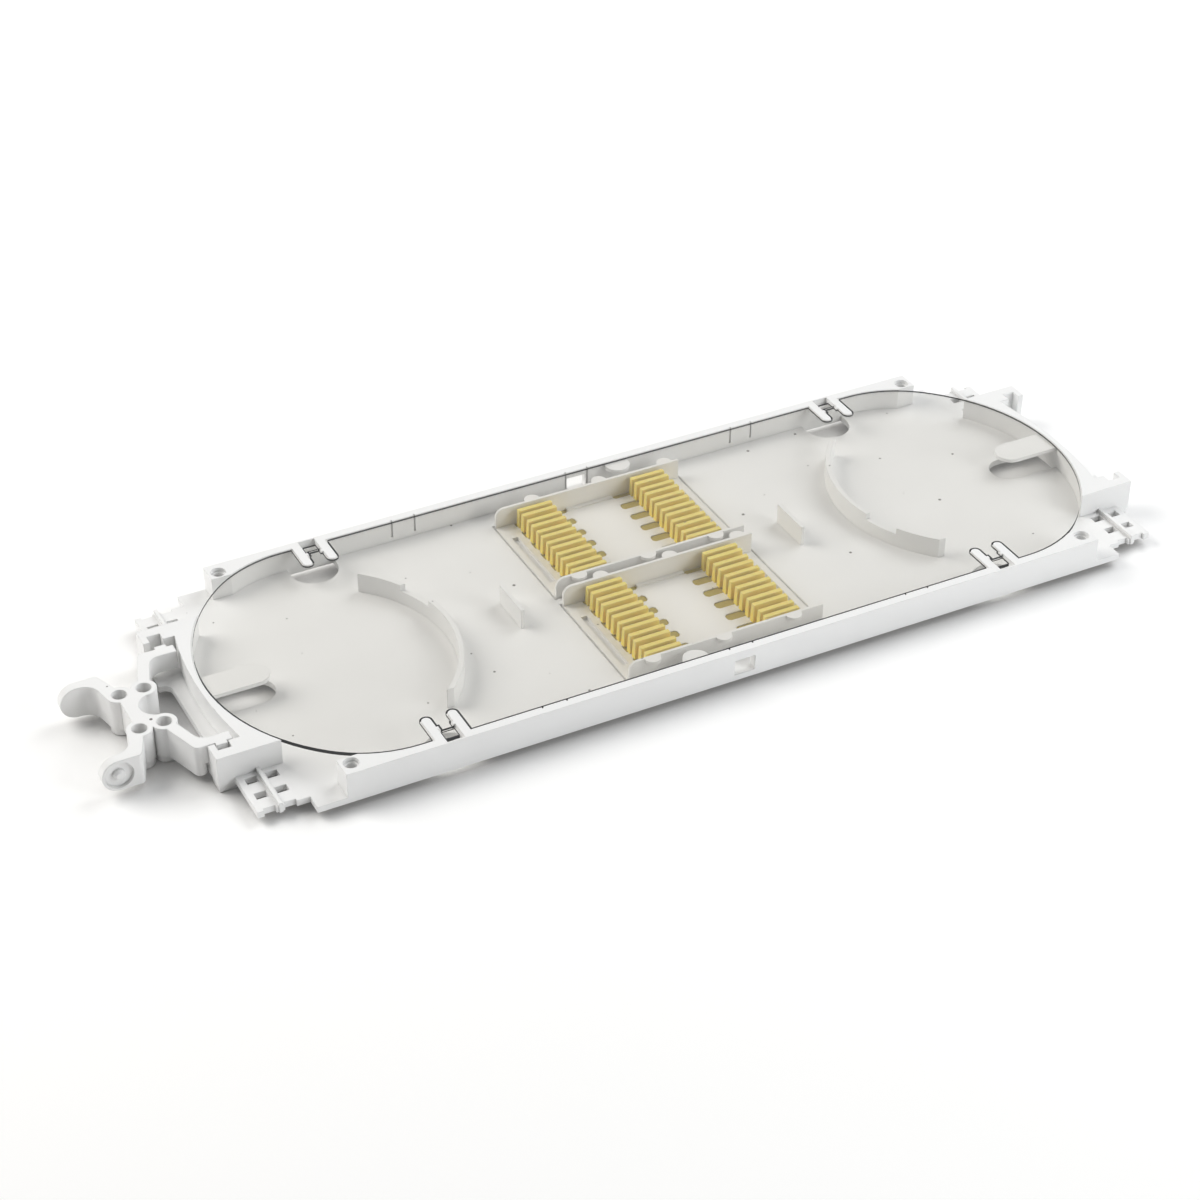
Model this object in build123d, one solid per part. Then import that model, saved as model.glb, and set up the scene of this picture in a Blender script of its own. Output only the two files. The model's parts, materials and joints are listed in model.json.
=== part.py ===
from build123d import *
from math import atan2, degrees, hypot
import os

# Fibre splice tray, in millimetres.
# The origin is the middle of the tray's underside, +X runs along the tray and +Z is up.
# The hinge bracket is at the -X end.

# Cover
cover_length = 297.8
cover_width = 107.2
cover_thickness = 1.2
cover_end_bulge = 5.1
cover_corner_radius = 37.5
cover_gap = 0.5
support_gap = 0.2

# Tray shell
tray_height = 10.2
floor_thickness = 2.0
long_wall = 2.9
end_wall = 1.7
end_rim_radius = 140.0
end_flange = 3.8

# Corner posts with their counterbored holes, set in from the ends of the cover and the outer walls
corner_hole_dia = 3.3
corner_hole_inset_x = 23.9
corner_hole_inset_y = 4.5
counterbore_dia = 4.8
counterbore_depth = 1.2
post_reach_x = 3.3
post_reach_y = 2.9
floor_tab_reach = 12.5

# End blocks and the pockets that take the bracket's tongues
block_reach = 3.3
block_inset = 23.0
block_thickness = 6.8
pocket_width = 11.6
pocket_notch_width = 4.2
pocket_notch_depth = 3.1
pocket_notch_inset = 4.1
flange_notch_radius = 2.5

# Cable-tie ladders, one at each fibre port
ladder_width = 4.9
ladder_length = 17.6
ladder_edge = 2.0
ladder_hole_x = 3.6
ladder_hole_y = 2.8
ladder_web = 2.6
ladder_ridge_width = 1.1
ladder_ridge_height = 1.2
ladder_ridge_reach = 0.5
ladder_first_row = 3.4
ladder_row_pitch = 7.3
ladder_rows = 3

# Fibre tabs that hold the fibre down, just under the cover
tab_thickness = 1.2
end_tab_width = 10.0
end_tab_reach = 20.5
tab_hole_room = 1.2
wall_tab_width = 8.2
wall_tab_clear = 2.2
wall_tab_x = 14.4

# Clips: a pair of fingers, a recess in the wall between them, and a tongue of the cover
clip_inset = 54.6
clip_finger_pitch = 8.3
clip_finger_width = 2.8
clip_finger_reach = 10.8
clip_finger_thickness = 1.6
clip_gap = 0.6
clip_recess_depth = 2.3
clip_recess_drop = 2.6
clip_hook_reach = 0.4
clip_hook_length = 3.2
clip_hook_step = 0.7
clip_nub_size = 1.2
clip_nub_reach = 5.0
clip_hole_width = 15.5
clip_hole_reach = 11.0

# Curved fibre guides and straight fins
guide_inset = 77.7
guide_radius = 45.7
guide_thickness = 1.6
guide_half_width = 33.2
guide_step_start = 10.0
guide_step_end = 21.5
guide_step_drop = 2.2
fin_offset = 16.2
fin_length = 15.0
fin_thickness = 1.1

# Windows and grooves of the long walls
window_width = 7.0
window_height = 5.3
groove_pitch = 62.0
groove_spacing = 7.9
groove_width = 0.6
groove_depth = 0.6
groove_foot = 1.5

# Combs: pairs of soft fins on a strip, with runners in the holder's slots
comb_pair_pitch = 6.95
comb_fin_spacing = 3.15
comb_fin_thickness = 2.0
comb_top_gap = 0.5
comb_fin_taper = 2.2
comb_length = 12.4
comb_end_inset = 6.7
comb_strip_inset = 1.0
comb_strip_thickness = 0.7
runner_width = 3.4
runner_reach = 5.95
runner_overhang = 0.4
runner_thickness = 0.9
runner_end_cut = 0.8

# Splice holders
holder_length = 66.8
holder_base = 1.2
holder_wall = 1.0
side_channel = 7.7
holder_gap = 0.7
holder_mid_gap = 4.0
holder_corner_radius = 3.0
holder_tab_width = 5.2
holder_tab_reach = 2.6
holder_tab_thickness = 1.0
holder_tab_inset = 4.7
rear_tab_shift = 4.4
front_tab_shift = -1.4
end_slot_room = 7.45
end_slot_width = 2.0
end_slot_inset = 3.2
ledge_width = 1.4
ledge_height = 0.4

# Hinge bracket
boss_dia = 7.6
boss_hole_dia = 4.6
boss_pitch_x = 7.45
boss_pitch_y = 17.7
boss_offset = 10.7
web_reach = 4.6
web_bite_gap = 0.25
web_bite_shift = 1.0
arm_width = 3.6
arm_floor_gap = 0.3
tongue_width = 3.5
tongue_height = 6.1
tongue_tip_gap = 0.6
tongue_fillet = 4.0
tongue_bump_length = 3.4
tongue_bump_reach = 1.3
tongue_play = 2.25
tongue_seat_gap = 0.45
ear_offset = 14.1
ear_y = 18.8
ear_thickness = 3.2
ear_arm_root = 5.0
ear_arm_width = 3.2
ear_plate_length = 6.0
ear_fillet = 5.0
dish_radius = 4.3
dish_depth = 1.1
pivot_radius = 1.8
pivot_length = 1.5

# Worked out from the sizes above
half_length = cover_length / 2
half_width = cover_width / 2
inner_y = half_width + cover_gap
outer_y = inner_y + long_wall
arc_radius = half_width + cover_end_bulge
arc_x = half_length - arc_radius
end_x = half_length + cover_gap + end_wall
flange_x = end_x + end_flange
block_x = flange_x + block_reach
hole_x = half_length - corner_hole_inset_x
hole_y = outer_y - corner_hole_inset_y
post_x = hole_x + post_reach_x
floor_tab_x = hole_x + floor_tab_reach
block_y = outer_y - block_inset
pocket_y = block_y - block_thickness
ladder_x = block_x - ladder_width
ladder_y = block_y + ladder_length
cover_bottom = tray_height - cover_thickness
inner_top = cover_bottom - support_gap
clip_x = half_length - clip_inset
clip_recess_half = (clip_finger_pitch - clip_finger_width) / 2
holder_width = inner_y - side_channel - holder_mid_gap / 2
holder_inner_width = holder_width - 2 * holder_wall
holder_y = (holder_width + holder_mid_gap) / 2
holder_tab_pitch = holder_length / 2 - holder_tab_inset - rear_tab_shift
comb_inner_x = holder_length / 2 - comb_end_inset - comb_length
comb_pairs = int(holder_inner_width / comb_pair_pitch)
holder_bottom = floor_thickness - holder_base
comb_fin_height = inner_top - comb_top_gap - floor_thickness


def slab(plan, low, high):
    """A plan raised into a solid between two heights."""
    return extrude(Pos(0, 0, low) * plan, amount=high - low, dir=(0, 0, 1))


def block(x0, x1, y0, y1):
    """The plan of a rectangle between two corners."""
    return Pos((x0 + x1) / 2, (y0 + y1) / 2) * Rectangle(abs(x1 - x0), abs(y1 - y0))


def round_bar(length, width):
    """The plan of a bar from the origin along +X, with a round far end."""
    shaft = length - width / 2
    bar = block(0, shaft, -width / 2, width / 2) + Pos(shaft, 0) * Circle(width / 2)
    return bar & block(0, length, -width / 2, width / 2)


def both_ends(shape):
    """A shape and its mirror image at the other end of the tray."""
    return shape + mirror(shape, about=Plane.YZ)


def four_ways(shape):
    """A shape and its mirror images at the other three corners."""
    pair = both_ends(shape)
    return pair + mirror(pair, about=Plane.XZ)


def link(start, end, width):
    """The plan of a round-ended bar between two points."""
    run_x = end[0] - start[0]
    run_y = end[1] - start[1]
    middle = Pos((start[0] + end[0]) / 2, (start[1] + end[1]) / 2)
    return middle * Rot(0, 0, degrees(atan2(run_y, run_x))) * SlotCenterToCenter(hypot(run_x, run_y), width)


def cover_outline(grow):
    """The cover's outline: straight sides and bowed ends, grown all round by a gap."""
    disc = Circle(arc_radius + grow)
    ends = Pos(arc_x, 0) * disc + Pos(-arc_x, 0) * disc
    strip = Rectangle(2 * (half_length + grow), 2 * (half_width + grow))
    outline = Rectangle(2 * arc_x, 2 * (half_width + grow)) + (ends & strip)
    corners = outline.vertices().filter_by(lambda v: abs(v.X) > arc_x and abs(v.Y) > half_width / 2)
    return fillet(corners, cover_corner_radius + grow)


def clip_finger(grow):
    """The plan of one clip finger at the origin, reaching inwards from a wall at +Y."""
    bar = round_bar(clip_finger_reach + long_wall / 2 + grow, clip_finger_width + 2 * grow)
    return Rot(0, 0, -90) * bar


def clip_fingers(grow):
    """The plan of all the clip fingers, or of the slots round them."""
    root = inner_y + long_wall / 2
    finger = clip_finger(grow)
    pair = Pos(clip_x - clip_finger_pitch / 2, root) * finger
    pair += Pos(clip_x + clip_finger_pitch / 2, root) * finger
    return four_ways(pair)


def clip_nubs(grow):
    """The plan of the small catches on the facing flanks of the clip fingers."""
    catch = Rectangle(clip_nub_size + 2 * grow, clip_nub_size + 2 * grow)
    at_y = inner_y - clip_nub_reach
    pair = Pos(clip_x - clip_recess_half, at_y) * catch + Pos(clip_x + clip_recess_half, at_y) * catch
    return four_ways(pair)


def make_floor():
    """The floor plate with its corner tabs, ladders, end flanges and holes."""
    plan = Rectangle(2 * floor_tab_x, 2 * outer_y)
    plan += Rectangle(2 * ladder_x, 2 * ladder_y)
    plan += Rectangle(2 * block_x, 2 * block_y)
    notch = RectangleRounded(2 * block_reach, 2 * (pocket_y - pocket_width), flange_notch_radius)
    plan -= both_ends(Pos(block_x, 0) * notch)
    tab_hole = round_bar(end_tab_reach + tab_hole_room, end_tab_width + 2 * tab_hole_room)
    plan -= both_ends(Pos(half_length + cover_gap, 0) * Rot(0, 0, 180) * tab_hole)
    clip_hole = Rot(0, 0, -90) * round_bar(clip_hole_reach, clip_hole_width)
    plan -= four_ways(Pos(clip_x, inner_y) * clip_hole)
    plan -= four_ways(ladder_holes())
    floor = slab(plan, 0, floor_thickness)
    seat = Rectangle(holder_length + 2 * holder_gap, holder_width + 2 * holder_gap)
    for side in (-1, 1):
        floor -= slab(Pos(0, side * holder_y) * seat, holder_bottom, floor_thickness)
    return floor


def ladder_holes():
    """The plan of one ladder's holes: two columns, the last row open at the edge."""
    outer = ladder_x - ladder_edge - ladder_hole_x / 2
    inner = outer - ladder_hole_x - ladder_web
    hole = Rectangle(ladder_hole_x, ladder_hole_y)
    plan = Sketch()
    for row in range(ladder_rows):
        at_y = block_y + ladder_first_row + row * ladder_row_pitch
        plan += Pos(outer, at_y) * hole
        plan += Pos(inner, at_y) * hole
    return plan


def make_ladder_ridges():
    """The raised rail down the middle of each ladder."""
    middle = ladder_x - ladder_edge - ladder_hole_x - ladder_web / 2
    half = ladder_ridge_width / 2
    rail = block(middle - half, middle + half, block_y - end_wall, ladder_y + ladder_ridge_reach)
    return four_ways(slab(rail, 0, floor_thickness + ladder_ridge_height))


def make_walls():
    """The long walls with the corner posts, the bowed end walls and the end blocks."""
    inner = cover_outline(cover_gap)
    post_y = hole_y - post_reach_y
    plan = Rectangle(2 * post_x, 2 * outer_y) - inner - Rectangle(2 * block_x, 2 * post_y)
    end = Pos(end_x - end_rim_radius, 0) * Circle(end_rim_radius) & block(arc_x, block_x, -block_y, block_y)
    plan += both_ends(end - inner)
    notch = Rectangle(pocket_notch_width, 2 * (pocket_y + pocket_notch_depth))
    notch = Pos(block_x - pocket_notch_inset, 0) * notch
    plan += four_ways(block(arc_x, block_x, pocket_y, block_y) - inner - notch)
    return slab(plan, 0, tray_height)


def make_wall_cuts():
    """Windows, grooves and clip recesses of the long walls."""
    window = Rectangle(window_width, 2 * outer_y)
    groove = block(-groove_width / 2, groove_width / 2, inner_y - groove_depth, inner_y + groove_depth)
    plan = Sketch()
    for at_x in (-groove_pitch, 0, groove_pitch):
        for side in (-1, 1):
            plan += Pos(at_x + side * groove_spacing / 2, 0) * groove
    plan += mirror(plan, about=Plane.XZ)
    left = clip_x - clip_recess_half
    right = clip_x + clip_recess_half
    recess = block(left, right, inner_y - clip_gap, inner_y + clip_recess_depth)
    cuts = slab(plan, floor_thickness + groove_foot, tray_height)
    cuts += slab(four_ways(recess), tray_height - clip_recess_drop, tray_height)
    return cuts + slab(window, floor_thickness, floor_thickness + window_height)


def make_tabs():
    """The fibre tabs of the end walls and the long walls."""
    end_tab = round_bar(end_tab_reach + end_wall / 2, end_tab_width)
    plan = both_ends(Pos(half_length + cover_gap + end_wall / 2, 0) * Rot(0, 0, 180) * end_tab)
    wall_tab = round_bar(side_channel - wall_tab_clear + long_wall / 2, wall_tab_width)
    wall_tab = Pos(wall_tab_x, inner_y + long_wall / 2) * Rot(0, 0, -90) * wall_tab
    plan += wall_tab + Rot(0, 0, 180) * wall_tab
    return slab(plan, inner_top - tab_thickness, inner_top)


def make_guides():
    """The two bowed fibre guides, each with a lower stretch, and the two straight fins."""
    apex = half_length - guide_inset
    middle = apex + guide_radius
    ring = Circle(guide_radius + guide_thickness / 2) - Circle(guide_radius - guide_thickness / 2)
    bow = Pos(middle, 0) * ring & block(0, middle, -guide_half_width, guide_half_width)
    step = bow & block(0, middle, -guide_step_end, -guide_step_start)
    guide = slab(bow, 0, inner_top) - slab(step, inner_top - guide_step_drop, inner_top)
    fin = Pos(holder_length / 2 + fin_offset, 0) * Rectangle(fin_thickness, fin_length)
    half = guide + slab(fin, 0, inner_top)
    return half + Rot(0, 0, 180) * half


def make_tray():
    """The whole tray moulding."""
    tray = make_walls() - make_wall_cuts()
    holes = four_ways(Pos(hole_x, hole_y) * Circle(corner_hole_dia / 2))
    sinks = four_ways(Pos(hole_x, hole_y) * Circle(counterbore_dia / 2))
    tray += make_floor()
    tray += make_ladder_ridges()
    tray += make_tabs()
    tray += make_guides()
    fingers = clip_fingers(0) + clip_nubs(0)
    tray += slab(fingers, tray_height - clip_finger_thickness, tray_height)
    tray -= slab(holes, 0, tray_height)
    return tray - slab(sinks, tray_height - counterbore_depth, tray_height)


def make_cover():
    """The clear cover: slots round the clip fingers, and a stepped hook between each pair."""
    plan = cover_outline(0) - clip_fingers(clip_gap) - clip_nubs(clip_gap)
    hook_half = clip_recess_half - clip_gap
    hook_start = half_width - clip_hook_length
    hook = block(clip_x - hook_half, clip_x + hook_half, hook_start, half_width + clip_hook_reach)
    cover = slab(plan, cover_bottom, tray_height)
    cover -= slab(four_ways(hook), tray_height - clip_hook_step, tray_height)
    return cover + slab(four_ways(hook), cover_bottom - clip_hook_step, tray_height - clip_hook_step)


def comb_strip():
    """The strip that carries a right-hand comb's fins, sunk in the holder's base."""
    inner = comb_inner_x + comb_strip_inset
    outer = comb_inner_x + comb_length - comb_strip_inset
    half = comb_pairs * comb_pair_pitch / 2
    return slab(block(inner, outer, -half, half), floor_thickness - comb_strip_thickness, floor_thickness)


def runner_slots():
    """The plan of a right-hand comb's slots: one in each wide gap, cut short at the side walls."""
    inner = comb_inner_x - runner_reach
    outer = comb_inner_x + comb_length + runner_overhang
    slot = block(inner, outer, -runner_width / 2, runner_width / 2)
    slot = chamfer(slot.vertices().group_by(Axis.X)[0], runner_end_cut)
    plan = Sketch()
    for row in range(comb_pairs + 1):
        plan += Pos(0, (row - comb_pairs / 2) * comb_pair_pitch) * slot
    return plan & block(0, outer, -holder_inner_width / 2, holder_inner_width / 2)


def make_comb():
    """A right-hand comb at the holder's middle: fins, strip and runners in one piece."""
    middle = comb_inner_x + comb_length / 2
    fin = extrude(Rectangle(comb_length, comb_fin_thickness), amount=comb_fin_height, taper=comb_fin_taper)
    comb = comb_strip()
    comb += slab(runner_slots(), holder_bottom, holder_bottom + runner_thickness)
    for pair in range(comb_pairs):
        pair_y = (pair - (comb_pairs - 1) / 2) * comb_pair_pitch
        for side in (-1, 1):
            comb += Pos(middle, pair_y + side * comb_fin_spacing / 2, floor_thickness) * fin
    return comb


def make_holder():
    """A splice holder at the origin: base plate, two side walls and fibre tabs."""
    base = slab(Rectangle(holder_length, holder_width), holder_bottom, floor_thickness)
    side = Rectangle(holder_length, inner_top - holder_bottom)
    left_top = side.vertices().group_by(Axis.Y)[-1].sort_by(Axis.X)[0]
    side = fillet(left_top, holder_corner_radius)
    wall_middle = (inner_top + holder_bottom) / 2
    wall = extrude(Pos(0, 0, wall_middle) * Rot(90, 0, 0) * side, amount=holder_wall / 2, both=True)
    wall_y = (holder_width - holder_wall) / 2
    holder = base + Pos(0, wall_y, 0) * wall + Pos(0, -wall_y, 0) * wall
    ledge_half = comb_inner_x - runner_reach
    ledge_y = holder_inner_width / 2
    ledge = block(-ledge_half, ledge_half, ledge_y - ledge_width, ledge_y)
    holder += slab(ledge, floor_thickness, floor_thickness + ledge_height)
    end_slot = Rectangle(end_slot_width, holder_inner_width - 2 * end_slot_room)
    slots = both_ends(Pos(holder_length / 2 - end_slot_inset, 0) * end_slot + runner_slots())
    holder -= slab(slots, holder_bottom, floor_thickness)
    holder -= both_ends(comb_strip())
    return holder + slab(holder_tabs(), inner_top - holder_tab_thickness, inner_top)


def holder_tabs():
    """The plan of the half-round fibre tabs that stand out from the holder's side walls."""
    root = holder_width / 2 - holder_wall / 2
    tab = Rot(0, 0, 90) * round_bar(holder_tab_reach + holder_wall / 2, holder_tab_width)
    plan = Sketch()
    for place in (-1, 0, 1):
        plan += Pos(place * holder_tab_pitch + rear_tab_shift, root) * tab
        plan += Pos(place * holder_tab_pitch + front_tab_shift, -root) * Rot(0, 0, 180) * tab
    return plan


def round_corner(plan, near_x, near_y, radius):
    """A plan with its corner nearest to a point rounded."""
    corner = plan.vertices().sort_by(lambda v: hypot(v.X - near_x, v.Y - near_y))[0]
    return fillet(corner, radius)


def make_ear(far_boss):
    """The rear ear and its arm: a plate with a round end, a dish and a domed pivot on its outer face."""
    middle = tray_height / 2
    ear_x = -block_x - boss_offset - ear_offset
    root_x = ear_x + ear_plate_length
    inner_y_face = ear_y - ear_thickness / 2
    outer_y_face = ear_y + ear_thickness / 2
    arm_x = far_boss[0] - (boss_dia - ear_arm_root) / 2
    arm = Pos(arm_x, far_boss[1]) * Circle(ear_arm_root / 2)
    arm += Pos(root_x, ear_y) * Circle(ear_arm_width / 2)
    plan = make_hull(arm.edges()) + block(ear_x - middle, root_x, inner_y_face, outer_y_face)
    plan = round_corner(plan, root_x - ear_arm_width / 2, inner_y_face, ear_fillet)
    outward = Plane(origin=(ear_x, outer_y_face, middle), x_dir=(1, 0, 0), z_dir=(0, 1, 0))
    profile = Circle(middle) + block(0, far_boss[0] - ear_x, -middle, middle)
    ear = slab(plan, 0, tray_height) & extrude(outward * profile, amount=-outer_y_face)
    ear -= extrude(outward * Circle(dish_radius), amount=-dish_depth)
    pin = extrude(outward * Circle(pivot_radius), amount=pivot_length - dish_depth)
    pin += extrude(outward * Circle(pivot_radius), amount=-dish_depth)
    tip = pin.edges().sort_by(Axis.Y)[-1]
    return ear + chamfer(tip, pivot_length / 2)


def make_tongue(near_boss):
    """The rear tongue with its snap bump, and the arm that carries it from the near boss."""
    root_x = -block_x - arm_floor_gap - arm_width / 2
    tongue_y = pocket_y - tongue_play - tongue_width / 2
    inner_y_face = tongue_y - tongue_width / 2
    outer_y_face = tongue_y + tongue_width / 2
    arm = link(near_boss, (root_x, tongue_y), arm_width)
    plan = arm + block(root_x, -end_x + tongue_tip_gap, inner_y_face, outer_y_face)
    plan = round_corner(plan, root_x + arm_width / 2, inner_y_face, tongue_fillet)
    bump = Rectangle(tongue_bump_length, 2 * tongue_bump_reach)
    plan += Pos(pocket_notch_inset - block_x, outer_y_face) * bump
    return slab(arm, 0, tray_height) + slab(plan, tray_height - tongue_height, tray_height)


def make_bracket():
    """The hinge bracket: four bored bosses on a web, two ears and two tongues."""
    boss_x = -block_x - boss_offset
    far_boss = (boss_x - boss_pitch_x / 2, boss_pitch_y / 2)
    near_boss = (boss_x + boss_pitch_x / 2, boss_pitch_y / 2)
    bosses = Pos(*far_boss) * Circle(boss_dia / 2) + Pos(*near_boss) * Circle(boss_dia / 2)
    bores = Pos(*far_boss) * Circle(boss_hole_dia / 2) + Pos(*near_boss) * Circle(boss_hole_dia / 2)
    bite = Circle((boss_pitch_y - boss_dia) / 2 + web_bite_gap)
    web = block(boss_x - web_reach, near_boss[0], 0, boss_pitch_y / 2)
    web -= Pos(near_boss[0] + web_bite_shift, 0) * bite
    half = slab(bosses + web, 0, tray_height) + make_ear(far_boss) + make_tongue(near_boss)
    half -= slab(bores, 0, tray_height)
    bracket = half + mirror(half, about=Plane.XZ)
    return Pos(0, tongue_seat_gap - tongue_play, 0) * bracket


def save(solid, node):
    """Write one node's solid."""
    export_step(solid, os.path.join("parts", node + ".step"))


os.makedirs("parts", exist_ok=True)
save(make_tray(), "tray")
save(make_cover(), "cover")
save(make_bracket(), "hinge_bracket")
holder_solid = make_holder()
right_comb = make_comb()
left_comb = mirror(right_comb, about=Plane.YZ)
for place, at_y in (("rear", holder_y), ("front", -holder_y)):
    save(Pos(0, at_y, 0) * holder_solid, "splice_holder_" + place)
    save(Pos(0, at_y, 0) * left_comb, "comb_" + place + "_left")
    save(Pos(0, at_y, 0) * right_comb, "comb_" + place + "_right")
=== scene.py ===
import json
from math import radians

import bmesh
import bpy
from mathutils import Euler, Matrix, Vector


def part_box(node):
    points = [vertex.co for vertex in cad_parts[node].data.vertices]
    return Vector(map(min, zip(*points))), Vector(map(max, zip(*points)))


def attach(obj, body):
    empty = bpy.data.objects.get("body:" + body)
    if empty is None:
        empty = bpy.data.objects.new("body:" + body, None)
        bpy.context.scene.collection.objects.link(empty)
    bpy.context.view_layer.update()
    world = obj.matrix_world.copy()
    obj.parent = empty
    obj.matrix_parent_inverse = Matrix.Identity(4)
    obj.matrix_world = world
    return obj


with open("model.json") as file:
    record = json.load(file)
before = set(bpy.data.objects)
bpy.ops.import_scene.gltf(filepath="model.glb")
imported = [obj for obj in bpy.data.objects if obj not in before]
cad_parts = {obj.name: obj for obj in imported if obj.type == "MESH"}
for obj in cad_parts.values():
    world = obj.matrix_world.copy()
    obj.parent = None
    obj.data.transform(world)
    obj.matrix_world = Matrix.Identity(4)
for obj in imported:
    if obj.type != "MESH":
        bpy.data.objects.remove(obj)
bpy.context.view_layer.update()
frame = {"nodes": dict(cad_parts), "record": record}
nodes = frame["nodes"]


# Tray: the shallow shell with its walls, posts, ladders, guides, tabs and clip fingers.
# White ABS, injection moulded in one shot with a fine satin skin and a few dark specks in it.
# It stands on the feet under its end blocks and carries every other piece.
tray_white = (0.875, 0.875, 0.868, 1)
tray_edge_round = 0.00028
tray_gloss = 0.30
skin_samples = 4
flow_scale = (14, 34, 34)
flow_tone = 0.965
face_up_from = 0.8
face_up_full = 0.9
specks_per_metre = 48.0
speck_least = 0.2
speck_largest = 0.026
speck_solid = -0.006
speck_fade = 0.004
speck_colour = (0.16, 0.15, 0.14, 1)
# Painted shade: closed-in places such as slots, corners and recesses are darkened in the colour.
crevice_shade_reach = 0.003
crevice_shade_closed = 0.1
crevice_shade_open = 0.5
crevice_shade_tone = 0.6
# Painted highlight: rounded edges are lightened towards a paler white in the colour.
edge_highlight_colour = (0.94, 0.94, 0.93, 1)
edge_highlight_share = 0.35
edge_highlight_turn = 0.75
sheen_scale = 420.0
sheen_spread = 0.16
grain_scale = 2200.0
satin_grain = 0.00001
pin_mark_pitch = (0.058, 0.034, 1)
pin_mark_radius = 0.0032
pin_mark_edge = 0.00012
pin_mark_depth = 0.0001


def add_node(tree, kind, **values):
    """A new node, with its settings and its input values."""
    node = tree.nodes.new(kind)
    for name, value in values.items():
        if name in node.inputs:
            node.inputs[name].default_value = value
        else:
            setattr(node, name, value)
    return node


def ramp_between(tree, value, low, high, low_out, high_out):
    """A value carried from one range to another, held at both ends; returns the output."""
    ramp = add_node(tree, "ShaderNodeMapRange")
    ends = {"From Min": low, "From Max": high, "To Min": low_out, "To Max": high_out}
    for name, number in ends.items():
        ramp.inputs[name].default_value = number
    tree.links.new(value, ramp.inputs["Value"])
    return ramp.outputs["Result"]


def blend_colours(tree, share, first, second):
    """Two colours mixed by a share; each is a plain colour or an output."""
    mix = add_node(tree, "ShaderNodeMix", data_type="RGBA")
    tree.links.new(share, mix.inputs[0])
    for socket, colour in ((mix.inputs[6], first), (mix.inputs[7], second)):
        if isinstance(colour, tuple):
            socket.default_value = colour
        else:
            tree.links.new(colour, socket)
    return mix.outputs[2]


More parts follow.
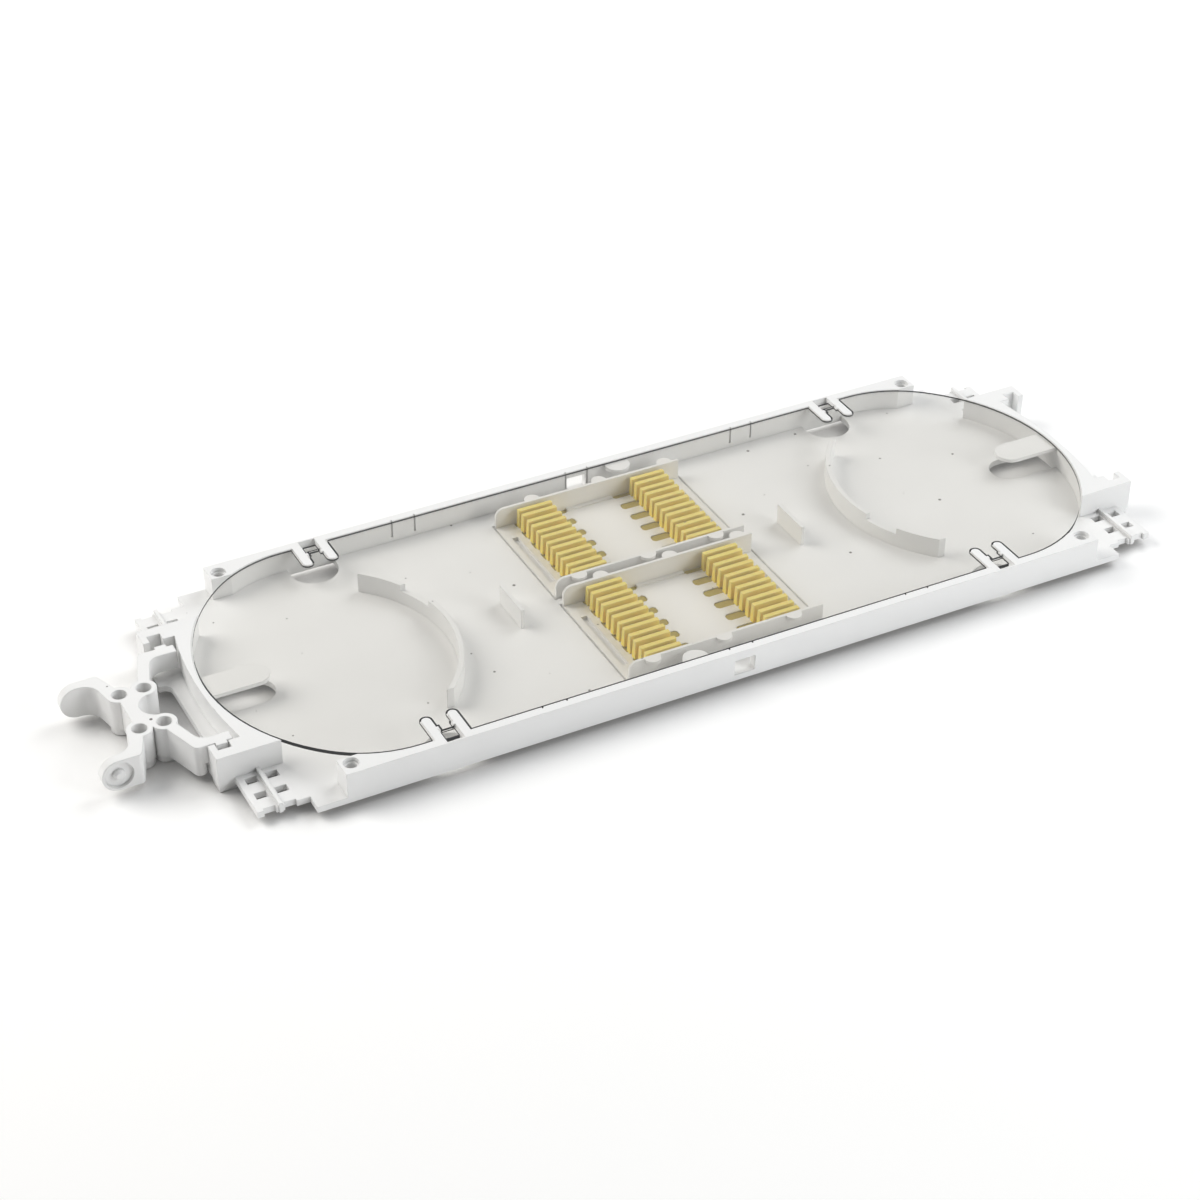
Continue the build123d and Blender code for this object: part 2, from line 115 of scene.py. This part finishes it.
def moulded_skin():
    """The node group for moulded skin: cloudy tone, specks, painted crevice shade, painted edge
    highlights, grain.
    """
    group = bpy.data.node_groups.new("moulded_skin", "ShaderNodeTree")
    sockets = group.interface
    sockets.new_socket("Colour", in_out="INPUT", socket_type="NodeSocketColor")
    sockets.new_socket("Edge Round", in_out="INPUT", socket_type="NodeSocketFloat")
    sockets.new_socket("Grain Height", in_out="INPUT", socket_type="NodeSocketFloat")
    sockets.new_socket("Gloss", in_out="INPUT", socket_type="NodeSocketFloat")
    sockets.new_socket("Crevice Shade Tone", in_out="INPUT", socket_type="NodeSocketFloat")
    sockets.new_socket("Colour", in_out="OUTPUT", socket_type="NodeSocketColor")
    sockets.new_socket("Roughness", in_out="OUTPUT", socket_type="NodeSocketFloat")
    sockets.new_socket("Normal", in_out="OUTPUT", socket_type="NodeSocketVector")
    join = group.links.new
    given = add_node(group, "NodeGroupInput")
    made = add_node(group, "NodeGroupOutput")
    place = add_node(group, "ShaderNodeTexCoord").outputs["Object"]

    stretch = add_node(group, "ShaderNodeMapping", Scale=flow_scale)
    join(place, stretch.inputs["Vector"])
    flow = add_node(group, "ShaderNodeTexNoise", Scale=1.0, Detail=3.0, Distortion=0.6)
    join(stretch.outputs["Vector"], flow.inputs["Vector"])
    tone = ramp_between(group, flow.outputs["Fac"], 0.3, 0.7, flow_tone, 1.0)
    cloudy = add_node(group, "ShaderNodeVectorMath", operation="SCALE")
    join(given.outputs["Colour"], cloudy.inputs[0])
    join(tone, cloudy.inputs["Scale"])

    flat = add_node(group, "ShaderNodeNewGeometry")
    facing = add_node(group, "ShaderNodeSeparateXYZ")
    join(flat.outputs["Normal"], facing.inputs["Vector"])
    specks = add_node(group, "ShaderNodeTexVoronoi", voronoi_dimensions="2D", Scale=specks_per_metre)
    join(place, specks.inputs["Vector"])
    speck_size = add_node(group, "ShaderNodeSeparateXYZ")
    join(specks.outputs["Color"], speck_size.inputs["Vector"])
    speck_reach = ramp_between(group, speck_size.outputs["X"], speck_least, 1.0, 0.0, speck_largest)
    speck_gap = add_node(group, "ShaderNodeMath", operation="SUBTRACT")
    join(specks.outputs["Distance"], speck_gap.inputs[0])
    join(speck_reach, speck_gap.inputs[1])
    speck_core = add_node(group, "ShaderNodeMath", operation="MULTIPLY")
    speck_round = ramp_between(group, speck_gap.outputs["Value"], speck_solid, speck_fade, 1.0, 0.0)
    join(speck_round, speck_core.inputs[0])
    face_up = ramp_between(group, facing.outputs["Z"], face_up_from, face_up_full, 0.0, 1.0)
    join(face_up, speck_core.inputs[1])
    speck_shade = blend_colours(group, speck_core.outputs["Value"], cloudy.outputs["Vector"], speck_colour)

    # Painted shade: the colour darkens where the surface is closed in within a few millimetres.
    crevice_shade_node = add_node(group, "ShaderNodeAmbientOcclusion", samples=skin_samples, only_local=True)
    crevice_shade_node.inputs["Distance"].default_value = crevice_shade_reach
    depth = add_node(group, "ShaderNodeMapRange")
    depth.inputs["From Min"].default_value = crevice_shade_closed
    depth.inputs["From Max"].default_value = crevice_shade_open
    join(crevice_shade_node.outputs["AO"], depth.inputs["Value"])
    join(given.outputs["Crevice Shade Tone"], depth.inputs["To Min"])
    shaded = add_node(group, "ShaderNodeVectorMath", operation="SCALE")
    join(speck_shade, shaded.inputs[0])
    join(depth.outputs["Result"], shaded.inputs["Scale"])

    rounded = add_node(group, "ShaderNodeBevel", samples=skin_samples)
    join(given.outputs["Edge Round"], rounded.inputs["Radius"])
    # Painted highlight: where the rounded normal turns from the flat one, the colour is lightened.
    agree = add_node(group, "ShaderNodeVectorMath", operation="DOT_PRODUCT")
    join(rounded.outputs["Normal"], agree.inputs[0])
    join(flat.outputs["Normal"], agree.inputs[1])
    edge = ramp_between(group, agree.outputs["Value"], 1.0, edge_highlight_turn, 0.0, edge_highlight_share)
    join(blend_colours(group, edge, shaded.outputs["Vector"], edge_highlight_colour), made.inputs["Colour"])

    sheen = add_node(group, "ShaderNodeTexNoise", Scale=sheen_scale, Detail=2.0)
    join(place, sheen.inputs["Vector"])
    satin = add_node(group, "ShaderNodeMath", operation="MULTIPLY_ADD")
    satin.inputs[1].default_value = sheen_spread
    join(sheen.outputs["Fac"], satin.inputs[0])
    join(given.outputs["Gloss"], satin.inputs[2])
    join(satin.outputs["Value"], made.inputs["Roughness"])

    grain = add_node(group, "ShaderNodeTexNoise", Scale=grain_scale, Detail=3.0)
    join(place, grain.inputs["Vector"])
    relief = add_node(group, "ShaderNodeBump", Strength=1.0)
    join(given.outputs["Grain Height"], relief.inputs["Distance"])
    join(grain.outputs["Fac"], relief.inputs["Height"])
    join(rounded.outputs["Normal"], relief.inputs["Normal"])
    join(relief.outputs["Normal"], made.inputs["Normal"])
    return group


skin_group = moulded_skin()


def moulded_plastic(name, colour, edge_round, gloss):
    """A moulded material on the shared skin; its skin node is named skin."""
    material = bpy.data.materials.new(name)
    material.use_nodes = True
    tree = material.node_tree
    shader = tree.nodes["Principled BSDF"]
    skin = add_node(tree, "ShaderNodeGroup", name="skin", node_tree=skin_group)
    skin.inputs["Colour"].default_value = colour
    skin.inputs["Edge Round"].default_value = edge_round
    skin.inputs["Grain Height"].default_value = satin_grain
    skin.inputs["Gloss"].default_value = gloss
    skin.inputs["Crevice Shade Tone"].default_value = crevice_shade_tone
    tree.links.new(skin.outputs["Colour"], shader.inputs["Base Color"])
    tree.links.new(skin.outputs["Roughness"], shader.inputs["Roughness"])
    tree.links.new(skin.outputs["Normal"], shader.inputs["Normal"])
    return material


def dress(node, material):
    """Give a CAD node its finished material."""
    slots = nodes[node].data.materials
    slots.clear()
    slots.append(material)


tray_plastic = moulded_plastic("tray_white_abs", tray_white, tray_edge_round, tray_gloss)
tray_tree = tray_plastic.node_tree
tray_shader = tray_tree.nodes["Principled BSDF"]
tray_skin = tray_tree.nodes["skin"]
tray_place = add_node(tray_tree, "ShaderNodeTexCoord")
pin_cell = add_node(tray_tree, "ShaderNodeVectorMath", operation="WRAP")
pin_cell.inputs[1].default_value = [pitch / 2 for pitch in pin_mark_pitch]
pin_cell.inputs[2].default_value = [-pitch / 2 for pitch in pin_mark_pitch]
tray_tree.links.new(tray_place.outputs["Object"], pin_cell.inputs[0])
pin_flat = add_node(tray_tree, "ShaderNodeVectorMath", operation="MULTIPLY")
pin_flat.inputs[1].default_value = (1, 1, 0)
tray_tree.links.new(pin_cell.outputs["Vector"], pin_flat.inputs[0])
pin_reach = add_node(tray_tree, "ShaderNodeVectorMath", operation="LENGTH")
tray_tree.links.new(pin_flat.outputs["Vector"], pin_reach.inputs[0])
pin_step = ramp_between(
    tray_tree, pin_reach.outputs["Value"], pin_mark_radius - pin_mark_edge, pin_mark_radius, 0.0, 1.0)
tray_side = add_node(tray_tree, "ShaderNodeNewGeometry")
tray_up = add_node(tray_tree, "ShaderNodeSeparateXYZ")
tray_tree.links.new(tray_side.outputs["Normal"], tray_up.inputs["Vector"])
pin_below = ramp_between(tray_tree, tray_up.outputs["Z"], -face_up_full, -face_up_from, 1.0, 0.0)
pin_height = add_node(tray_tree, "ShaderNodeMath", operation="MULTIPLY")
tray_tree.links.new(pin_step, pin_height.inputs[0])
tray_tree.links.new(pin_below, pin_height.inputs[1])
pin_relief = add_node(tray_tree, "ShaderNodeBump", Strength=0.8, Distance=pin_mark_depth)
tray_tree.links.new(pin_height.outputs["Value"], pin_relief.inputs["Height"])
tray_tree.links.new(tray_skin.outputs["Normal"], pin_relief.inputs["Normal"])
tray_tree.links.new(pin_relief.outputs["Normal"], tray_shader.inputs["Normal"])
dress("tray", tray_plastic)


# Splice holders: two alike, a base plate with low side walls and half-round fibre tabs.
# White ABS from another tool, a little warmer than the tray.
# Each drops into a shallow seat in the tray's floor.
holder_white = (0.86, 0.85, 0.825, 1)
holder_edge_round = 0.00025
holder_gloss = 0.34
holder_plastic = moulded_plastic("holder_warm_white_abs", holder_white, holder_edge_round, holder_gloss)
dress("splice_holder_rear", holder_plastic)
dress("splice_holder_front", holder_plastic)


# Combs: four alike, rows of soft fins that grip the splice sleeves.
# Straw-coloured thermoplastic elastomer, each row moulded on a runner that sits in the holder's slots.
# The soft material lets light in. Its colour holds painted light and shade: paler tops, deeper roots, an
# olive runner.
comb_runner_shade = (0.30, 0.25, 0.10, 1)
comb_root_shade = (0.97, 0.745, 0.11, 1)
comb_top_light = (0.83, 0.69, 0.205, 1)
comb_root_height = 0.0020
comb_top_height = 0.0083
comb_runner_fade = 0.0004
comb_edge_round = 0.0002
comb_gloss = 0.42
comb_specular = 0.2
comb_glow = 0.4
comb_glow_radius = (1.0, 0.7, 0.25)
comb_glow_depth = 0.0012
comb_rubber = moulded_plastic("comb_straw_elastomer", comb_top_light, comb_edge_round, comb_gloss)
comb_tree = comb_rubber.node_tree
comb_shader = comb_tree.nodes["Principled BSDF"]
comb_skin = comb_tree.nodes["skin"]
comb_shader.inputs["Specular IOR Level"].default_value = comb_specular
comb_shader.inputs["Subsurface Weight"].default_value = comb_glow
comb_shader.inputs["Subsurface Radius"].default_value = comb_glow_radius
comb_shader.inputs["Subsurface Scale"].default_value = comb_glow_depth
comb_place = add_node(comb_tree, "ShaderNodeTexCoord")
comb_axes = add_node(comb_tree, "ShaderNodeSeparateXYZ")
comb_tree.links.new(comb_place.outputs["Object"], comb_axes.inputs["Vector"])
# Painted light and shade: the colour runs from a deeper yellow root to a paler lit top, and drops to dark
# olive in the slots.
comb_rise = ramp_between(comb_tree, comb_axes.outputs["Z"], comb_root_height, comb_top_height, 0.0, 1.0)
comb_fins = blend_colours(comb_tree, comb_rise, comb_root_shade, comb_top_light)
comb_above = ramp_between(
    comb_tree, comb_axes.outputs["Z"], comb_root_height - comb_runner_fade, comb_root_height, 0.0, 1.0)
comb_colour = blend_colours(comb_tree, comb_above, comb_runner_shade, comb_fins)
comb_tree.links.new(comb_colour, comb_skin.inputs["Colour"])
for comb in ("comb_rear_left", "comb_rear_right", "comb_front_left", "comb_front_right"):
    dress(comb, comb_rubber)


# Hinge bracket: four bored bosses on a web, two ears with domed pivots and two tongues.
# White ABS, moulded in one piece with slightly softer edges than the tray.
# Its tongues snap into the pockets of the two end blocks.
bracket_white = (0.88, 0.88, 0.872, 1)
bracket_edge_round = 0.00045
bracket_gloss = 0.30
bracket_plastic = moulded_plastic("bracket_white_abs", bracket_white, bracket_edge_round, bracket_gloss)
dress("hinge_bracket", bracket_plastic)


# Feet: a pad under each of the four end blocks and a ring under each boss of the bracket.
# White ABS, moulded in one piece with the block or boss above it, with a slight step round it.
# They hold the floor clear of the bench, so a line of shadow shows under the long walls.
foot_depth = 0.0022
foot_step = 0.00025
foot_round = 0.0003
foot_round_steps = 3
foot_smooth_angle = 35
block_length = 0.0071
block_width = 0.0068
block_outer_y = 0.0340
boss_radius = 0.0038
ring_sides = 64
rim_least_turn = 1.0
tray_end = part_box("tray")[1][0]
boss_holes = next(mount for mount in frame["record"]["mounts"] if mount["name"] == "bracket_holes")
boss_bore = boss_holes["dims"]["hole_r_mm"] / 1000
boss_half_x = boss_holes["dims"]["spacing_x_mm"] / 2000
boss_half_y = boss_holes["dims"]["spacing_y_mm"] / 2000
four_sides = [(side_x, side_y) for side_x in (-1, 1) for side_y in (-1, 1)]


def round_edges(piece, is_sharp, radius):
    """Bevel the edges of a piece that a test picks, in edit mode."""
    bpy.ops.object.mode_set(mode="EDIT")
    bpy.ops.mesh.select_mode(type="EDGE")
    bpy.ops.mesh.select_all(action="DESELECT")
    shape = bmesh.from_edit_mesh(piece.data)
    for edge in shape.edges:
        edge.select_set(is_sharp(edge))
    bmesh.update_edit_mesh(piece.data)
    bpy.ops.mesh.bevel(offset=radius, segments=foot_round_steps, affect="EDGES")
    bpy.ops.object.mode_set(mode="OBJECT")
    bpy.ops.object.shade_smooth_by_angle(angle=radians(foot_smooth_angle))


def lay_feet(name, places, plastic):
    """Copy the foot just made to all its places, and join the copies into one piece on the tray."""
    feet = [bpy.context.object]
    feet[0].location = places[0]
    for place in places[1:]:
        bpy.ops.object.duplicate(linked=False)
        bpy.context.object.location = place
        feet.append(bpy.context.object)
    for foot in feet:
        foot.select_set(True)
    bpy.ops.object.join()
    bpy.ops.object.transform_apply(location=True, rotation=True, scale=True)
    piece = bpy.context.object
    piece.name = name
    piece.data.materials.append(plastic)
    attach(piece, "tray_body")


def reaches_down(edge):
    """True for the upright and the lower edges of a pad."""
    return min(corner.co.z for corner in edge.verts) < 0


def rims_below(edge):
    """True for the two round edges at the foot of a ring."""
    return max(corner.co.z for corner in edge.verts) < 0 and edge.calc_face_angle(0.0) > rim_least_turn


bpy.ops.object.select_all(action="DESELECT")
bpy.ops.mesh.primitive_cube_add(size=1)
bpy.context.object.scale = (block_length - 2 * foot_step, block_width - 2 * foot_step, foot_depth)
bpy.ops.object.transform_apply(location=False, rotation=False, scale=True)
round_edges(bpy.context.object, reaches_down, foot_round)
pad_x = tray_end - block_length / 2
pad_y = block_outer_y - block_width / 2
pad_places = [(side_x * pad_x, side_y * pad_y, -foot_depth / 2) for side_x, side_y in four_sides]
lay_feet("tray_feet", pad_places, tray_plastic)

bpy.ops.object.select_all(action="DESELECT")
bpy.ops.mesh.primitive_cylinder_add(
    vertices=ring_sides, radius=boss_radius - foot_step, depth=foot_depth, end_fill_type="NOTHING")
bpy.ops.object.modifier_add(type="SOLIDIFY")
bpy.context.object.modifiers["Solidify"].thickness = boss_radius - foot_step - boss_bore
bpy.ops.object.modifier_apply(modifier="Solidify")
round_edges(bpy.context.object, rims_below, foot_round)
ring_places = []
for side_x, side_y in four_sides:
    boss_x = boss_holes["pos_m"][0] + side_x * boss_half_x
    boss_y = boss_holes["pos_m"][1] + side_y * boss_half_y
    ring_places.append((boss_x, boss_y, -foot_depth / 2))
lay_feet("bracket_feet", ring_places, bracket_plastic)


# Cover: a flat sheet with slots round the clip fingers and a stepped hook between them.
# Clear polystyrene with polished faces and a trace of haze from handling; the cut edges are painted dark
# as shade.
# It drops between the walls and is held by the clips.
cover_clear = (0.955, 0.95, 0.935, 1)
cover_shade = (0.942, 0.938, 0.928, 1)
cover_rim_shade = (0.09, 0.092, 0.095, 1)
cover_index = 1.45
cover_haze_scale = 60.0
cover_haze_from = 0.45
cover_haze_full = 0.8
cover_haze_rough = 0.05
cover_steep = 0.3
cover_flat = 0.7
cover_plastic = bpy.data.materials.new("cover_clear_polystyrene")
cover_plastic.use_nodes = True
cover_tree = cover_plastic.node_tree
cover_shader = cover_tree.nodes["Principled BSDF"]
cover_shader.inputs["Base Color"].default_value = cover_clear
cover_shader.inputs["IOR"].default_value = cover_index
cover_shader.inputs["Transmission Weight"].default_value = 1.0
cover_place = add_node(cover_tree, "ShaderNodeTexCoord")
cover_haze = add_node(cover_tree, "ShaderNodeTexNoise", Scale=cover_haze_scale, Detail=4.0)
cover_tree.links.new(cover_place.outputs["Object"], cover_haze.inputs["Vector"])
cover_rough = ramp_between(
    cover_tree, cover_haze.outputs["Fac"], cover_haze_from, cover_haze_full, 0.0, cover_haze_rough)
cover_tree.links.new(cover_rough, cover_shader.inputs["Roughness"])
cover_side = add_node(cover_tree, "ShaderNodeNewGeometry")
cover_up = add_node(cover_tree, "ShaderNodeSeparateXYZ")
cover_tree.links.new(cover_side.outputs["Normal"], cover_up.inputs["Vector"])
cover_level = add_node(cover_tree, "ShaderNodeMath", operation="ABSOLUTE")
cover_tree.links.new(cover_up.outputs["Z"], cover_level.inputs[0])
cover_face = ramp_between(cover_tree, cover_level.outputs["Value"], cover_steep, cover_flat, 0.0, 1.0)
# Painted shade: the steep cut edges are a dark matte surface instead of clear plastic.
cover_edge_shade = add_node(cover_tree, "ShaderNodeBsdfDiffuse", Color=cover_rim_shade)
cover_solid = add_node(cover_tree, "ShaderNodeMixShader")
cover_tree.links.new(cover_face, cover_solid.inputs[0])
cover_tree.links.new(cover_edge_shade.outputs["BSDF"], cover_solid.inputs[1])
cover_tree.links.new(cover_shader.outputs["BSDF"], cover_solid.inputs[2])
cover_rays = add_node(cover_tree, "ShaderNodeLightPath")
cover_lit = add_node(cover_tree, "ShaderNodeMath", operation="MAXIMUM")
cover_tree.links.new(cover_rays.outputs["Is Shadow Ray"], cover_lit.inputs[0])
cover_tree.links.new(cover_rays.outputs["Is Diffuse Ray"], cover_lit.inputs[1])
cover_through = add_node(cover_tree, "ShaderNodeBsdfTransparent", Color=cover_shade)
cover_surface = add_node(cover_tree, "ShaderNodeMixShader")
cover_tree.links.new(cover_lit.outputs["Value"], cover_surface.inputs[0])
cover_tree.links.new(cover_solid.outputs["Shader"], cover_surface.inputs[1])
cover_tree.links.new(cover_through.outputs["BSDF"], cover_surface.inputs[2])
cover_out = cover_tree.nodes["Material Output"]
cover_tree.links.new(cover_surface.outputs["Shader"], cover_out.inputs["Surface"])
dress("cover", cover_plastic)


# Studio floor: a seamless pale sheet that keeps the soft shadow of the tray, and a painted shadow close to
# it.
# Only the camera, gloss and clear plastic see its lift to white, which grows away from the tray.
floor_half = 3.0
floor_clearance = 0.0001
floor_tone = (0.95, 0.948, 0.942, 1)
floor_painted_shadow = (0.40, 0.39, 0.38, 1)
floor_shadow_reach = 0.010
floor_shadow_full = 0.15
floor_shadow_none = 0.8
floor_roughness = 0.9
floor_lift = 0.05
floor_fade_start = 0.4
floor_fade_end = 1.2


def larger_of(tree, first, second):
    """The larger of two values; returns the output."""
    larger = add_node(tree, "ShaderNodeMath", operation="MAXIMUM")
    tree.links.new(first, larger.inputs[0])
    tree.links.new(second, larger.inputs[1])
    return larger.outputs["Value"]


def seen_rays(tree, gloss_share):
    """1 for rays from the camera or through clear plastic, and a share for rays off gloss."""
    rays = add_node(tree, "ShaderNodeLightPath")
    seen = larger_of(tree, rays.outputs["Is Camera Ray"], rays.outputs["Is Transmission Ray"])
    off_gloss = ramp_between(tree, rays.outputs["Is Glossy Ray"], 0.0, 1.0, 0.0, gloss_share)
    return larger_of(tree, seen, off_gloss)


bpy.ops.object.select_all(action="DESELECT")
bpy.ops.mesh.primitive_plane_add(size=2 * floor_half, location=(0, 0, -foot_depth - floor_clearance))
floor = bpy.context.object
floor.name = "studio_floor"
floor_paper = bpy.data.materials.new("studio_paper")
floor_paper.use_nodes = True
floor_tree = floor_paper.node_tree
floor_shader = floor_tree.nodes["Principled BSDF"]
# Painted shadow: the floor's colour darkens to grey where the tray and bracket close it in.
floor_near = add_node(floor_tree, "ShaderNodeAmbientOcclusion", samples=6, Distance=floor_shadow_reach)
floor_open = ramp_between(
    floor_tree, floor_near.outputs["AO"], floor_shadow_full, floor_shadow_none, 0.0, 1.0)
floor_colour = blend_colours(floor_tree, floor_open, floor_painted_shadow, floor_tone)
floor_tree.links.new(floor_colour, floor_shader.inputs["Base Color"])
floor_shader.inputs["Roughness"].default_value = floor_roughness
floor_shader.inputs["Specular IOR Level"].default_value = 0.0
floor_shader.inputs["Emission Color"].default_value = (1, 1, 1, 1)
floor_place = add_node(floor_tree, "ShaderNodeTexCoord")
floor_reach = add_node(floor_tree, "ShaderNodeVectorMath", operation="LENGTH")
floor_tree.links.new(floor_place.outputs["Object"], floor_reach.inputs[0])
floor_white = ramp_between(
    floor_tree, floor_reach.outputs["Value"], floor_fade_start, floor_fade_end, floor_lift, 1.0)
floor_gain = add_node(floor_tree, "ShaderNodeMath", operation="MULTIPLY")
floor_tree.links.new(seen_rays(floor_tree, 1.0), floor_gain.inputs[0])
floor_tree.links.new(floor_white, floor_gain.inputs[1])
floor_tree.links.new(floor_gain.outputs["Value"], floor_shader.inputs["Emission Strength"])
floor.data.materials.append(floor_paper)


# Light: three soft boxes round the tray in a dim white room, behind left, right and front right.
# The room shows as plain white behind the tray, and lights it at its own low level.
room_level = 0.12
room_gloss = 0.3
warm_tint = (1, 0.985, 0.96)
cool_tint = (0.97, 0.985, 1)
room = bpy.data.worlds.new("white_room")
bpy.context.scene.world = room
room.use_nodes = True
room_sky = room.node_tree.nodes["Background"]
room_sky.inputs["Color"].default_value = (1, 1, 1, 1)
room_seen = seen_rays(room.node_tree, room_gloss)
room_gain = ramp_between(room.node_tree, room_seen, 0.0, 1.0, room_level, 1.0)
room.node_tree.links.new(room_gain, room_sky.inputs["Strength"])


def soft_box(name, size, power, place, tint):
    """A square area lamp turned to the middle of the tray, which leaves no glare on the cover."""
    lamp = bpy.data.lights.new(name, "AREA")
    lamp.size = size
    lamp.energy = power
    lamp.color = tint
    box = bpy.data.objects.new(name, lamp)
    box.location = place
    box.rotation_euler = (-Vector(place)).to_track_quat("-Z", "Y").to_euler()
    box.visible_glossy = False
    box.visible_transmission = False
    bpy.context.scene.collection.objects.link(box)


soft_box("left_box", size=0.9, power=13.0, place=(-0.75, 0.60, 0.75), tint=warm_tint)
soft_box("right_box", size=0.9, power=9.5, place=(0.90, 0.22, 0.90), tint=cool_tint)
soft_box("front_box", size=0.6, power=5.6, place=(0.60, -0.80, 0.40), tint=cool_tint)


# Camera: at the height and angle of the photograph, with the focal length that matches it.
# Its place is in metres from the middle of the tray, and its angles are in degrees.
photo_sensor = 36.0
photo_lens = 78.9
photo_place = (-0.3284, -0.5938, 0.4755)
photo_tilt = 54.537
photo_turn = -27.507
photo_roll = 0.237
camera_data = bpy.data.cameras.new("photo_camera")
camera_data.sensor_width = photo_sensor
camera_data.lens = photo_lens
camera = bpy.data.objects.new("photo_camera", camera_data)
camera_aim = Euler((radians(photo_tilt), 0, radians(photo_turn))).to_matrix()
camera_aim = camera_aim @ Matrix.Rotation(radians(photo_roll), 3, "Z")
camera.rotation_euler = camera_aim.to_euler()
camera.location = photo_place
bpy.context.scene.collection.objects.link(camera)
bpy.context.scene.camera = camera
bpy.context.scene.view_settings.view_transform = "Standard"
